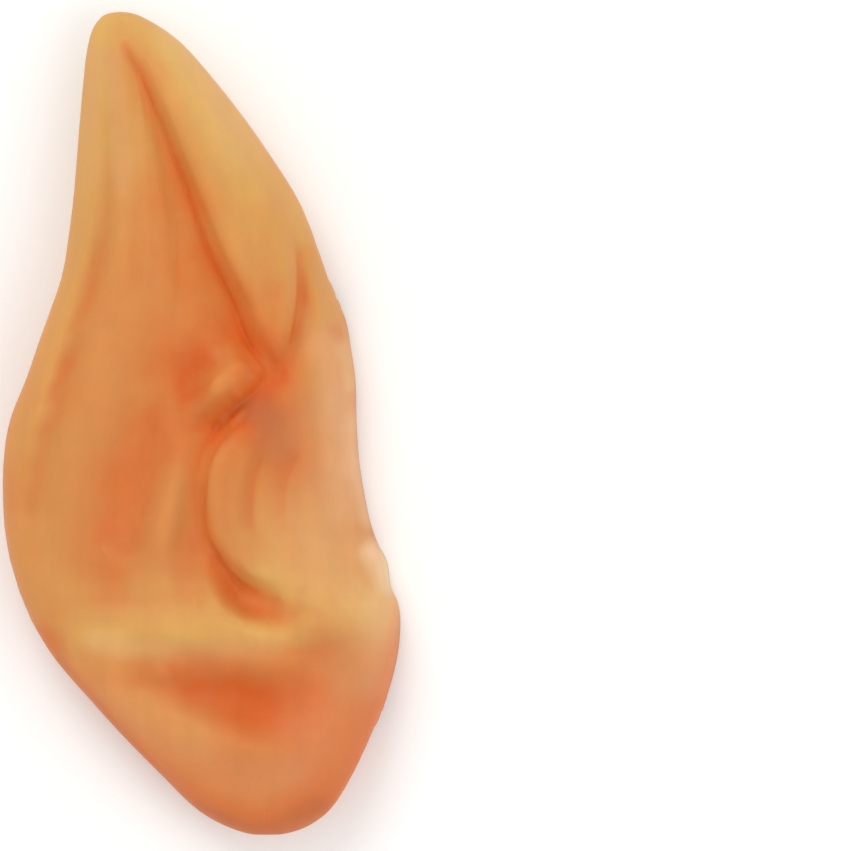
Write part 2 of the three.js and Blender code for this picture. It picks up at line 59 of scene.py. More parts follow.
# Fine modelling of the front
# Lines that the mould's maker cut or raised after the main folds. path runs through points given as
# (across, along), shares of the ear's width and length. sides are the widths in millimetres to the left
# and the right of the line as it runs, and height is in millimetres, below zero for a cut.
FINE_FOLDS = [
    {
        "name": "lip of the helix over the crease",
        "path": [(0.350, 0.950), (0.415, 0.895), (0.475, 0.820), (0.530, 0.755), (0.575, 0.705),
                 (0.635, 0.650), (0.665, 0.610)],
        "sides": (2.4, 1.2),
        "height": 0.2,
    },
    {
        "name": "bottom of the slit",
        "path": [(0.746, 0.722), (0.752, 0.690), (0.749, 0.650), (0.741, 0.618), (0.730, 0.592)],
        "sides": (1.4, 0.8),
        "height": -0.3,
    },
    {
        "name": "crest beside the slit",
        "path": [(0.730, 0.710), (0.734, 0.660), (0.724, 0.620), (0.712, 0.596)],
        "sides": (0.8, 2.2),
        "height": 0.25,
    },
    {
        "name": "rounded edge of the tragus",
        "path": [(0.600, 0.492), (0.558, 0.470), (0.533, 0.435), (0.530, 0.380), (0.560, 0.345),
                 (0.610, 0.315), (0.680, 0.295)],
        "sides": (2.4, 0.9),
        "height": 0.28,
    },
    {
        "name": "first ring on the tragus",
        "path": [(0.665, 0.470), (0.638, 0.430), (0.632, 0.395), (0.636, 0.365)],
        "sides": (0.5, 2.6),
        "height": -0.28,
    },
    {
        "name": "second ring on the tragus",
        "path": [(0.760, 0.470), (0.724, 0.440), (0.712, 0.411), (0.712, 0.380)],
        "sides": (0.5, 3.0),
        "height": -0.2,
    },
    {
        "name": "end knob of the helix",
        "path": [(0.525, 0.533), (0.550, 0.546), (0.575, 0.557), (0.603, 0.566), (0.628, 0.571)],
        "sides": (1.4, 2.2),
        "height": 0.3,
    },
    {
        "name": "shoulder of the end knob",
        "path": [(0.578, 0.532), (0.612, 0.545), (0.645, 0.558)],
        "sides": (2.0, 2.0),
        "height": 0.55,
    },
    {
        "name": "small ridge under the end knob",
        "path": [(0.575, 0.498), (0.593, 0.506), (0.612, 0.516)],
        "sides": (0.8, 0.8),
        "height": 0.35,
    },
    {
        "name": "pit before the small ridge",
        "path": [(0.545, 0.505), (0.548, 0.497), (0.546, 0.490)],
        "sides": (1.2, 1.2),
        "height": -0.12,
    },
    {
        "name": "step on the panel",
        "path": [(0.425, 0.780), (0.432, 0.720), (0.432, 0.670), (0.425, 0.630)],
        "sides": (1.0, 2.8),
        "height": 0.12,
    },
    {
        "name": "narrow rib of the panel",
        "path": [(0.298, 0.830), (0.303, 0.770), (0.305, 0.700)],
        "sides": (0.8, 1.0),
        "height": 0.1,
    },
    {
        "name": "second step on the panel",
        "path": [(0.350, 0.900), (0.365, 0.800), (0.362, 0.700)],
        "sides": (0.8, 1.8),
        "height": 0.08,
    },
    {
        "name": "rim groove",
        "path": [(0.277, 0.830), (0.264, 0.740), (0.240, 0.690), (0.196, 0.618), (0.156, 0.550),
                 (0.120, 0.490), (0.094, 0.430), (0.086, 0.385)],
        "sides": (2.4, 2.0),
        "height": -0.16,
    },
    {
        "name": "foot of the antitragus",
        "path": [(0.244, 0.215), (0.369, 0.208), (0.495, 0.206), (0.640, 0.212)],
        "sides": (3.0, 3.2),
        "height": 0.42,
    },
    {
        "name": "knob on the concha",
        "path": [(0.262, 0.346), (0.272, 0.348)],
        "sides": (1.0, 1.0),
        "height": 0.25,
    },
    {
        "name": "knob by the notch",
        "path": [(0.484, 0.286), (0.496, 0.286)],
        "sides": (1.2, 1.2),
        "height": 0.2,
    },
]

# Creases that the mould rounds
# The latex doesn't fill a sharp crease to its bottom. path is as above, width is the half width in
# millimetres and share is how far the surface goes towards its smooth course.
ROUNDED_CREASES = [
    {
        "name": "under the end knob",
        "path": [(0.666, 0.558), (0.651, 0.546), (0.621, 0.532), (0.590, 0.519), (0.565, 0.505),
                 (0.540, 0.490)],
        "width": 3.4,
        "share": 1.0,
    },
    {
        "name": "beside the tragus",
        "path": [(0.528, 0.485), (0.510, 0.462), (0.497, 0.431), (0.495, 0.401), (0.510, 0.371),
                 (0.530, 0.344)],
        "width": 2.6,
        "share": 0.5,
    },
    {
        "name": "under the tragus",
        "path": [(0.550, 0.327), (0.585, 0.307), (0.636, 0.293), (0.696, 0.282)],
        "width": 3.0,
        "share": 0.5,
    },
]

# Tints and painted light
# Soft strokes of colour, by the name that their tint has in the settings. Some are the latex's own
# airbrushed tints and many are painted shade and painted light, as noted at each tint. Each tint covers the
# ones before it.
# path is as above, width is the half width in millimetres and strength is the cover, each at the stroke's
# start and at its end. The strokes of a tint are listed from the tip down.
TINT_AND_LIGHT_STROKES = {
    # Yellow: the latex's yellower tint on raised edges, together with painted highlights on the ridges and
    # painted light that lifts shaded flanks and the crease under the tragus.
    "yellow": [
        # From the tip to the end knob
        {"path": [(0.260, 0.985), (0.310, 0.930)], "width": (7.0, 5.0), "strength": (0.30, 0.20)},
        {"path": [(0.420, 0.930), (0.560, 0.830), (0.660, 0.730), (0.720, 0.640)],
         "width": (5.0, 5.5), "strength": (0.40, 0.20)},
        {"path": [(0.533, 0.923), (0.633, 0.857), (0.709, 0.796), (0.759, 0.747)],
         "width": (1.8, 1.8), "strength": (0.10, 0.35)},
        {"path": [(0.300, 0.910), (0.302, 0.790), (0.300, 0.680)],
         "width": (1.2, 1.6), "strength": (0.25, 0.15)},
        {"path": [(0.210, 0.860), (0.190, 0.700), (0.110, 0.560), (0.050, 0.440)],
         "width": (3.0, 3.0), "strength": (0.20, 0.15)},
        {"path": [(0.294, 0.808), (0.369, 0.735)], "width": (4.0, 4.0), "strength": (0.20, 0.10)},
        {"path": [(0.760, 0.760), (0.810, 0.700), (0.840, 0.640)],
         "width": (1.8, 1.8), "strength": (0.30, 0.25)},
        {"path": [(0.872, 0.600), (0.885, 0.550), (0.888, 0.500)],
         "width": (1.8, 1.6), "strength": (0.35, 0.15)},
        # Round the end knob, the concha and the tragus
        {"path": [(0.575, 0.538), (0.633, 0.558)], "width": (1.3, 1.3), "strength": (0.25, 0.30)},
        {"path": [(0.530, 0.535), (0.560, 0.551), (0.600, 0.569)],
         "width": (1.3, 1.6), "strength": (0.00, 0.25)},
        {"path": [(0.660, 0.375), (0.740, 0.365), (0.860, 0.350)],
         "width": (4.0, 5.0), "strength": (0.30, 0.30)},
        {"path": [(0.050, 0.350), (0.100, 0.300), (0.200, 0.285)],
         "width": (5.0, 4.0), "strength": (0.35, 0.45)},
        # Painted light in the crease under the tragus, lifting its shade.
        {"path": [(0.558, 0.331), (0.621, 0.306), (0.704, 0.288)],
         "width": (0.9, 1.1), "strength": (0.40, 0.35)},
        {"path": [(0.660, 0.315), (0.720, 0.297)], "width": (2.0, 2.0), "strength": (0.25, 0.25)},
        {"path": [(0.700, 0.310), (0.820, 0.295), (0.970, 0.280)],
         "width": (4.5, 6.0), "strength": (0.55, 0.80)},
        # On the lobe and the ridge over its hollow
        {"path": [(0.360, 0.298), (0.420, 0.285), (0.490, 0.290)],
         "width": (3.4, 2.6), "strength": (0.40, 0.40)},
        {"path": [(0.420, 0.297), (0.520, 0.282)], "width": (2.4, 2.4), "strength": (0.30, 0.30)},
        {"path": [(0.210, 0.240), (0.330, 0.243), (0.450, 0.249), (0.580, 0.250), (0.720, 0.249)],
         "width": (3.6, 3.0), "strength": (0.70, 0.75)},
        {"path": [(0.269, 0.237), (0.445, 0.231)], "width": (1.6, 1.6), "strength": (0.35, 0.30)},
        {"path": [(0.220, 0.224), (0.300, 0.214), (0.380, 0.211)],
         "width": (2.4, 2.2), "strength": (0.35, 0.40)},
        {"path": [(0.190, 0.205), (0.240, 0.183)], "width": (2.2, 2.0), "strength": (0.30, 0.20)},
        {"path": [(0.369, 0.176), (0.508, 0.149)], "width": (1.6, 1.6), "strength": (0.20, 0.15)},
        {"path": [(0.310, 0.165), (0.400, 0.130), (0.470, 0.110)],
         "width": (3.0, 3.0), "strength": (0.30, 0.20)},
    ],
    # Red: the latex's redder tint in folds and hollows, together with painted shade: darkening along the
    # creases, in the hollows and pits, in the lobe's dent and along the lobe's lower edge.
    "red": [
        # From the tip to the end knob
        {"path": [(0.306, 0.966), (0.370, 0.917)], "width": (2.6, 2.6), "strength": (0.20, 0.20)},
        {"path": [(0.312, 0.955), (0.342, 0.930), (0.372, 0.893), (0.417, 0.832), (0.455, 0.784),
                  (0.518, 0.711)], "width": (0.7, 2.0), "strength": (0.40, 0.15)},
        {"path": [(0.345, 0.945), (0.405, 0.885), (0.465, 0.830), (0.530, 0.765)],
         "width": (2.4, 3.4), "strength": (0.20, 0.22)},
        {"path": [(0.289, 0.942), (0.307, 0.893), (0.324, 0.844)],
         "width": (1.5, 1.5), "strength": (0.15, 0.10)},
        {"path": [(0.330, 0.925), (0.370, 0.860), (0.430, 0.790)],
         "width": (2.0, 3.0), "strength": (0.10, 0.22)},
        {"path": [(0.330, 0.860), (0.340, 0.740), (0.380, 0.620), (0.460, 0.530)],
         "width": (5.0, 8.0), "strength": (0.12, 0.28)},
        {"path": [(0.430, 0.800), (0.450, 0.700), (0.500, 0.600)],
         "width": (3.0, 7.0), "strength": (0.10, 0.40)},
        {"path": [(0.407, 0.784), (0.470, 0.690), (0.520, 0.620)],
         "width": (3.5, 3.5), "strength": (0.18, 0.18)},
        {"path": [(0.500, 0.760), (0.560, 0.680), (0.640, 0.610), (0.690, 0.570)],
         "width": (1.6, 3.2), "strength": (0.15, 0.35)},
        {"path": [(0.360, 0.740), (0.340, 0.640), (0.280, 0.570), (0.240, 0.540)],
         "width": (6.0, 8.0), "strength": (0.20, 0.10)},
        {"path": [(0.660, 0.740), (0.660, 0.660), (0.690, 0.580)],
         "width": (3.5, 4.5), "strength": (0.15, 0.42)},
        {"path": [(0.517, 0.710), (0.583, 0.643), (0.626, 0.592), (0.650, 0.565)],
         "width": (2.4, 3.6), "strength": (0.27, 0.36)},
        {"path": [(0.747, 0.710), (0.750, 0.680), (0.748, 0.645), (0.741, 0.612)],
         "width": (1.0, 1.8), "strength": (0.05, 0.10)},
        {"path": [(0.766, 0.705), (0.769, 0.640)], "width": (1.2, 1.2), "strength": (0.20, 0.20)},
        {"path": [(0.688, 0.662), (0.703, 0.613)], "width": (1.8, 1.8), "strength": (0.22, 0.22)},
        {"path": [(0.235, 0.660), (0.205, 0.600), (0.175, 0.530)],
         "width": (2.0, 2.0), "strength": (0.10, 0.12)},
        {"path": [(0.500, 0.660), (0.550, 0.630)], "width": (2.4, 2.4), "strength": (0.15, 0.15)},
        {"path": [(0.776, 0.650), (0.791, 0.601)], "width": (1.4, 1.4), "strength": (0.15, 0.15)},
        {"path": [(0.460, 0.630), (0.475, 0.590)], "width": (3.6, 3.0), "strength": (0.10, 0.00)},
        {"path": [(0.835, 0.612), (0.850, 0.600)], "width": (0.9, 0.9), "strength": (0.35, 0.35)},
        {"path": [(0.515, 0.600), (0.535, 0.572)], "width": (1.8, 1.6), "strength": (0.30, 0.30)},
        # Round the end knob, the concha and the tragus
        {"path": [(0.500, 0.590), (0.545, 0.594), (0.555, 0.612)],
         "width": (2.2, 2.0), "strength": (0.50, 0.30)},
        {"path": [(0.512, 0.572), (0.505, 0.553), (0.500, 0.538)],
         "width": (1.5, 1.5), "strength": (0.30, 0.30)},
        {"path": [(0.468, 0.570), (0.478, 0.550), (0.485, 0.530)],
         "width": (1.9, 1.9), "strength": (0.30, 0.45)},
        {"path": [(0.675, 0.562), (0.652, 0.544), (0.620, 0.530), (0.585, 0.522), (0.555, 0.512),
                  (0.545, 0.498)], "width": (1.5, 1.8), "strength": (0.15, 0.25)},
        {"path": [(0.440, 0.560), (0.450, 0.500), (0.470, 0.460)],
         "width": (3.5, 2.5), "strength": (0.30, 0.20)},
        {"path": [(0.660, 0.555), (0.690, 0.530), (0.690, 0.505), (0.720, 0.460)],
         "width": (4.0, 3.6), "strength": (0.45, 0.40)},
        {"path": [(0.635, 0.550), (0.660, 0.520), (0.655, 0.495)],
         "width": (2.0, 2.6), "strength": (0.20, 0.45)},
        {"path": [(0.700, 0.545), (0.715, 0.505)], "width": (3.4, 3.0), "strength": (0.25, 0.25)},
        {"path": [(0.620, 0.530), (0.700, 0.490), (0.760, 0.450)],
         "width": (4.5, 4.0), "strength": (0.25, 0.12)},
        {"path": [(0.665, 0.530), (0.715, 0.527)], "width": (2.6, 2.6), "strength": (0.30, 0.25)},
        {"path": [(0.193, 0.529), (0.219, 0.589), (0.269, 0.650), (0.307, 0.687)],
         "width": (3.5, 3.5), "strength": (0.12, 0.05)},
        {"path": [(0.640, 0.525), (0.620, 0.512), (0.603, 0.503)],
         "width": (2.2, 2.2), "strength": (0.45, 0.45)},
        {"path": [(0.500, 0.512), (0.530, 0.500), (0.545, 0.490)],
         "width": (2.2, 2.2), "strength": (0.15, 0.15)},
        {"path": [(0.595, 0.507), (0.651, 0.514), (0.704, 0.519)],
         "width": (1.8, 1.8), "strength": (0.55, 0.50)},
        {"path": [(0.600, 0.492), (0.650, 0.486)], "width": (2.0, 2.0), "strength": (0.25, 0.25)},
        {"path": [(0.590, 0.490), (0.565, 0.460), (0.550, 0.410), (0.560, 0.370)],
         "width": (2.4, 2.0), "strength": (0.30, 0.20)},
        {"path": [(0.555, 0.482), (0.508, 0.455), (0.500, 0.410), (0.512, 0.360)],
         "width": (1.1, 1.2), "strength": (0.20, 0.05)},
        {"path": [(0.380, 0.480), (0.330, 0.430), (0.300, 0.360), (0.280, 0.330)],
         "width": (6.0, 5.0), "strength": (0.36, 0.30)},
        {"path": [(0.625, 0.470), (0.610, 0.430), (0.615, 0.390)],
         "width": (1.8, 2.0), "strength": (0.30, 0.08)},
        {"path": [(0.700, 0.450), (0.690, 0.420), (0.690, 0.390)],
         "width": (2.6, 2.0), "strength": (0.35, 0.15)},
        {"path": [(0.307, 0.443), (0.299, 0.383)], "width": (3.0, 3.0), "strength": (0.25, 0.25)},
        {"path": [(0.043, 0.431), (0.030, 0.383), (0.068, 0.310), (0.131, 0.249)],
         "width": (3.0, 3.0), "strength": (0.15, 0.15)},
        {"path": [(0.475, 0.350), (0.480, 0.300)], "width": (2.6, 2.6), "strength": (0.30, 0.30)},
        {"path": [(0.520, 0.350), (0.560, 0.318), (0.610, 0.288), (0.665, 0.275), (0.720, 0.268)],
         "width": (1.8, 2.2), "strength": (0.15, 0.30)},
        {"path": [(0.540, 0.345), (0.550, 0.325)], "width": (1.6, 1.6), "strength": (0.20, 0.20)},
        {"path": [(0.746, 0.334), (0.910, 0.328)], "width": (2.0, 2.0), "strength": (0.12, 0.14)},
        # On the lobe and the ridge over its hollow
        {"path": [(0.621, 0.273), (0.716, 0.267)], "width": (1.0, 1.0), "strength": (0.25, 0.25)},
        {"path": [(0.998, 0.262), (0.995, 0.213), (0.975, 0.160)],
         "width": (1.4, 1.6), "strength": (0.15, 0.35)},
        {"path": [(0.100, 0.245), (0.200, 0.175), (0.360, 0.095), (0.500, 0.045), (0.660, 0.012)],
         "width": (1.4, 2.0), "strength": (0.25, 0.50)},
        {"path": [(0.143, 0.237), (0.206, 0.219)], "width": (1.8, 1.8), "strength": (0.20, 0.20)},
        {"path": [(0.970, 0.220), (0.930, 0.150), (0.860, 0.080), (0.700, 0.020)],
         "width": (3.0, 2.6), "strength": (0.30, 0.50)},
        {"path": [(0.400, 0.214), (0.482, 0.216), (0.595, 0.203)],
         "width": (1.2, 1.6), "strength": (0.00, 0.30)},
        {"path": [(0.380, 0.205), (0.460, 0.195), (0.560, 0.185), (0.680, 0.190)],
         "width": (2.0, 2.4), "strength": (0.20, 0.15)},
        {"path": [(0.330, 0.202), (0.400, 0.192), (0.480, 0.181), (0.560, 0.171), (0.637, 0.166)],
         "width": (2.0, 3.6), "strength": (0.22, 0.75)},
        {"path": [(0.720, 0.198), (0.810, 0.203)], "width": (2.4, 2.4), "strength": (0.20, 0.20)},
        {"path": [(0.500, 0.185), (0.580, 0.165), (0.620, 0.150)],
         "width": (2.4, 2.4), "strength": (0.25, 0.25)},
        {"path": [(0.750, 0.185), (0.800, 0.230)], "width": (3.0, 3.0), "strength": (0.12, 0.08)},
        {"path": [(0.620, 0.166), (0.700, 0.162), (0.780, 0.165)],
         "width": (3.4, 3.2), "strength": (0.45, 0.40)},
        {"path": [(0.700, 0.150), (0.780, 0.120), (0.800, 0.080)],
         "width": (5.0, 5.0), "strength": (0.30, 0.30)},
        {"path": [(0.620, 0.125), (0.750, 0.130), (0.920, 0.125)],
         "width": (4.0, 5.0), "strength": (0.25, 0.50)},
    ],
    # Orange: painted light, a bright orange that lifts the shade in the deepest creases and on the shaded
    # flanks of the antitragus and the lobe.
    "orange": [
        # From the tip to the end knob
        {"path": [(0.342, 0.930), (0.372, 0.893), (0.417, 0.832), (0.455, 0.784), (0.518, 0.711),
                  (0.583, 0.643), (0.626, 0.592)], "width": (0.8, 1.4), "strength": (0.12, 0.15)},
        {"path": [(0.394, 0.923), (0.440, 0.857), (0.495, 0.796), (0.583, 0.711)],
         "width": (1.6, 1.8), "strength": (0.06, 0.18)},
        {"path": [(0.748, 0.700), (0.750, 0.660), (0.741, 0.615)],
         "width": (0.8, 1.2), "strength": (0.15, 0.15)},
        # Round the end knob, the concha and the tragus
        {"path": [(0.809, 0.589), (0.834, 0.553), (0.847, 0.504), (0.859, 0.456)],
         "width": (2.2, 2.2), "strength": (0.20, 0.14)},
        {"path": [(0.660, 0.553), (0.621, 0.534), (0.590, 0.519), (0.565, 0.505), (0.540, 0.490)],
         "width": (1.6, 1.8), "strength": (0.20, 0.20)},
        {"path": [(0.528, 0.485), (0.505, 0.455), (0.495, 0.420), (0.500, 0.390), (0.525, 0.350)],
         "width": (1.3, 1.4), "strength": (0.25, 0.20)},
        {"path": [(0.550, 0.327), (0.585, 0.307), (0.636, 0.293), (0.696, 0.282)],
         "width": (2.0, 1.8), "strength": (0.25, 0.00)},
        # On the lobe and the ridge over its hollow
        {"path": [(0.621, 0.298), (0.709, 0.282)], "width": (1.2, 1.2), "strength": (0.10, 0.00)},
        {"path": [(0.985, 0.270), (0.995, 0.210), (0.960, 0.130)],
         "width": (1.6, 1.6), "strength": (0.12, 0.15)},
        {"path": [(0.269, 0.227), (0.369, 0.224), (0.495, 0.221), (0.595, 0.219), (0.721, 0.222)],
         "width": (1.8, 1.8), "strength": (0.10, 0.20)},
        {"path": [(0.244, 0.188), (0.369, 0.122), (0.520, 0.061), (0.671, 0.036)],
         "width": (4.5, 4.0), "strength": (0.17, 0.15)},
        {"path": [(0.740, 0.160), (0.860, 0.130)], "width": (4.5, 4.5), "strength": (0.10, 0.10)},
    ],
    # Brown: painted shadow along the lobe's lower and right edge.
    "brown": [
        # On the lobe and the ridge over its hollow
        {"path": [(1.000, 0.245), (0.998, 0.210), (0.985, 0.160)],
         "width": (0.8, 0.8), "strength": (0.20, 0.40)},
        {"path": [(0.143, 0.213), (0.319, 0.115), (0.470, 0.043), (0.658, 0.004), (0.822, 0.016),
                  (0.935, 0.079), (0.992, 0.164)], "width": (0.8, 0.9), "strength": (0.40, 0.50)},
        {"path": [(0.500, 0.030), (0.660, 0.005), (0.800, 0.035)],
         "width": (1.5, 1.8), "strength": (0.40, 0.60)},
    ],
    "pink": [
        # From the tip to the end knob
        {"path": [(0.236, 0.945), (0.231, 0.869), (0.224, 0.796)],
         "width": (1.1, 1.1), "strength": (0.35, 0.25)},
        {"path": [(0.276, 0.942), (0.294, 0.869), (0.307, 0.784)],
         "width": (1.1, 1.1), "strength": (0.40, 0.30)},
        # Round the end knob, the concha and the tragus
        {"path": [(0.800, 0.500), (0.840, 0.440), (0.860, 0.360)],
         "width": (5.0, 7.0), "strength": (0.35, 0.25)},
        # On the lobe and the ridge over its hollow
        {"path": [(0.930, 0.220), (0.880, 0.170), (0.800, 0.120)],
         "width": (5.0, 6.0), "strength": (0.20, 0.30)},
    ],
    "grey": [
        # Round the end knob, the concha and the tragus
        {"path": [(0.615, 0.515), (0.680, 0.505)], "width": (1.6, 1.6), "strength": (0.30, 0.20)},
        {"path": [(0.668, 0.510), (0.684, 0.492), (0.690, 0.468)],
         "width": (2.4, 2.6), "strength": (0.60, 0.45)},
    ],
    # Pale: the paler thin latex at the cheek-side edge, together with painted light that lifts the shade on
    # the slopes of the right rim, on the antitragus's lower flank and on the lobe.
    "pale": [
        # From the tip to the end knob
        {"path": [(0.420, 0.984), (0.533, 0.923), (0.633, 0.857), (0.709, 0.796), (0.759, 0.747)],
         "width": (2.0, 2.0), "strength": (0.15, 0.04)},
        {"path": [(0.440, 0.960), (0.530, 0.900), (0.600, 0.830)],
         "width": (3.0, 3.0), "strength": (0.10, 0.10)},
        {"path": [(0.810, 0.600), (0.835, 0.560), (0.845, 0.480), (0.862, 0.400)],
         "width": (2.6, 2.4), "strength": (0.15, 0.20)},
        # Round the end knob, the concha and the tragus
        {"path": [(0.857, 0.595), (0.869, 0.571), (0.877, 0.547)],
         "width": (1.0, 1.0), "strength": (0.20, 0.20)},
        {"path": [(0.809, 0.589), (0.834, 0.553), (0.847, 0.504), (0.859, 0.456)],
         "width": (2.2, 2.2), "strength": (0.08, 0.08)},
        {"path": [(0.885, 0.500), (0.893, 0.450), (0.925, 0.385)],
         "width": (1.6, 1.4), "strength": (0.20, 0.30)},
        {"path": [(0.750, 0.370), (0.820, 0.330), (0.920, 0.290)],
         "width": (6.0, 5.0), "strength": (0.08, 0.15)},
        {"path": [(0.932, 0.342), (0.957, 0.327), (0.978, 0.310)],
         "width": (1.7, 2.0), "strength": (0.60, 0.70)},
        # On the lobe and the ridge over its hollow
        {"path": [(0.955, 0.280), (0.950, 0.230), (0.930, 0.190)],
         "width": (2.4, 2.4), "strength": (0.20, 0.10)},
        {"path": [(0.244, 0.237), (0.369, 0.227), (0.495, 0.225), (0.700, 0.232)],
         "width": (1.8, 1.4), "strength": (0.15, 0.05)},
        {"path": [(0.269, 0.176), (0.420, 0.122), (0.570, 0.079), (0.721, 0.067)],
         "width": (3.0, 3.0), "strength": (0.05, 0.06)},
    ],
}

STROKE_SOFTNESS = 1.6  # reach of a wash against its half width
STROKE_FADE_PASSES = 40  # how far the washes fade out round the side, in spreading passes
STROKE_FADE_AT_SIDE = 0.5  # what those passes leave on the line where the front ends

# Tints and painted light that follow the shape
# Red in hollows and creases is painted shade together with the latex's redder tint there, red on steep
# sides is painted shade, and yellow on ridges is a painted highlight together with the latex's yellower
# tint. A cover is for each millimetre that a spot lies under or over its surroundings, up to the most that
# counts, in millimetres.
BROAD_PASSES = 60  # how far a broad hollow's surroundings reach, in spreading passes
FINE_PASSES = 8  # the same for a fine crease
BROAD_SHADE_COVER, BROAD_MOST = 0.8, 0.5
FINE_SHADE_COVER, FINE_MOST = 0.9, 0.12
RIDGE_HIGHLIGHT_COVER, RIDGE_MOST = 0.3, 0.6
STEEP_SHADE_COVER = 0.35  # where the side is upright
STEEP_BELOW = 0.7  # upward part of the normal under which a side counts as steep

# Courses of the strokes
CURVE_STEPS = 10  # straight pieces between two points of a path
RUN_OUT = 0.18  # share of a stroke over which it eases out at each end
END_KEPT = 0.25  # share of its height that it keeps at the very end

# Front of the shell
FACING_UP = 0.02  # least upward part of the normal on the front
RAY_START = 0.05 * MM  # height over the skin where the look upwards starts

# Smoothing of the solid
SAME_PLACE = 0.001 * MM  # corners nearer than this are one
PAIR_BEND = math.radians(60)  # most bend between two triangles that make a square
PAIR_SKEW = math.radians(75)  # most that such a square may be out of shape
CUT_ANGLE = math.radians(70)  # an edge that is sharper than this is the trimmed edge of the latex
CUT_HEIGHT = 2 * MM
CUT_SHARPNESS = 0.9
FITTING_PASSES = 2
MOST_PROUD = 0.12 * MM  # that the smoothed surface may stand off the solid
ROUNDING_PASSES = 60  # how far a rounded crease's smooth course looks, in spreading passes

# Skin of the latex
LOBE_STOP, MIDDLE_STOP, TIP_STOP = 0.08, 0.45, 0.96  # shares of the length where its colours are pure
CLOUD_SIZE = 9 * MM
BLOTCH_SIZE = 3.5 * MM
STREAK_SIZE = (2.4 * MM, 20 * MM, 8 * MM)  # across, along and up
LUMP_SIZE, LUMP_DEPTH = 4.5 * MM, 0.35 * MM
PORE_SIZE, PORE_DEPTH = 0.55 * MM, 0.05 * MM
LIGHT_REACH = (2.4 * MM, 1.0 * MM, 0.45 * MM)  # how far red, green and blue light go in
RGBA_RESULT = 2  # number of the Mix node's output for colours

# Studio
# spot is where a light hangs and size is its diameter, in metres. power names a setting.
LIGHTS = [
    {"name": "key", "spot": (-0.35, 0.75, 0.9), "size": 0.7, "power": "key_power"},
    {"name": "fill", "spot": (0.6, -0.3, 0.8), "size": 0.9, "power": "fill_power"},
]
FLOOR_DROP = 0.1 * MM  # keeps the floor clear of the flat back
RIM_SHARE = 0.35  # height of the ear's rim as a share of its depth
SENSOR_WIDTH = 36  # of the camera, in millimetres
NEAREST_SEEN = 0.01  # metres from the camera


# Measuring along a stroke
def stroke_points(path):
    """Points of a smooth curve through a path given as shares of the ear, in metres."""
    size = SHELL_HIGH - SHELL_LOW
    given = np.array([(SHELL_LOW.x + a * size.x, SHELL_LOW.y + b * size.y) for a, b in path])
    ends = np.vstack([2 * given[0] - given[1], given, 2 * given[-1] - given[-2]])
    t = np.linspace(0, 1, CURVE_STEPS, endpoint=False)[:, None]
    spans = []
    for p0, p1, p2, p3 in zip(ends, ends[1:], ends[2:], ends[3:]):
        spans.append(
            0.5 * (2 * p1 + (p2 - p0) * t + (2 * p0 - 5 * p1 + 4 * p2 - p3) * t**2
                   + (3 * p1 - p0 - 3 * p2 + p3) * t**3)
        )
    return np.vstack([*spans, given[-1:]])


def measure(places, path):
    """For each place: distance from the stroke, share of its length reached, and whether it lies left."""
    line = stroke_points(path)
    starts, steps = line[:-1], np.diff(line, axis=0)
    lengths = np.hypot(*steps.T)
    before = np.concatenate([[0], np.cumsum(lengths)])[:-1]
    best = np.full(len(places), np.inf)
    reached = np.zeros(len(places))
    left = np.zeros(len(places), bool)
    for start, step, length, gone in zip(starts, steps, lengths, before):
        away = places - start
        t = np.clip(away @ step / length**2, 0, 1)
        distance = np.hypot(*(away - t[:, None] * step).T)
        nearer = distance < best
        best[nearer] = distance[nearer]
        reached[nearer] = ((gone + t * length) / lengths.sum())[nearer]
        left[nearer] = (step[0] * away[:, 1] - step[1] * away[:, 0] > 0)[nearer]
    return best, reached, left


def bell(share):
    """1 at the middle of a stroke, easing to 0 at its side."""
    return np.clip(1 - share**2, 0, 1) ** 2


def taper(reached):
    """1 along a stroke, easing to the kept share over the last part at both of its ends."""
    inward = np.clip(np.minimum(reached, 1 - reached) / RUN_OUT, 0, 1)
    return END_KEPT + (1 - END_KEPT) * inward * inward * (3 - 2 * inward)


# Colours and nodes
def linear(hex_colour):
    """A colour in sRGB hex as linear red, green, blue and alpha."""
    channels = [int(hex_colour[i : i + 2], 16) / 255 for i in (1, 3, 5)]
    return (*(c / 12.92 if c <= 0.04045 else ((c + 0.055) / 1.055) ** 2.4 for c in channels), 1.0)


def add_node(tree, kind, settings=None, **links):
    """A node with its settings. Each link sets an input from a socket or a value. It goes by the input's
    name with spaces as underscores, or by n_ and the input's number where the node repeats a name."""
    node = tree.nodes.new(kind)
    for key, value in (settings or {}).items():
        setattr(node, key, value)
    for key, value in links.items():
        name = key.replace("_", " ")
        socket = node.inputs[int(name[2:])] if name.startswith("n ") else node.inputs[name]
        if isinstance(value, bpy.types.NodeSocket):
            tree.links.new(value, socket)
        else:
            socket.default_value = value
    return node


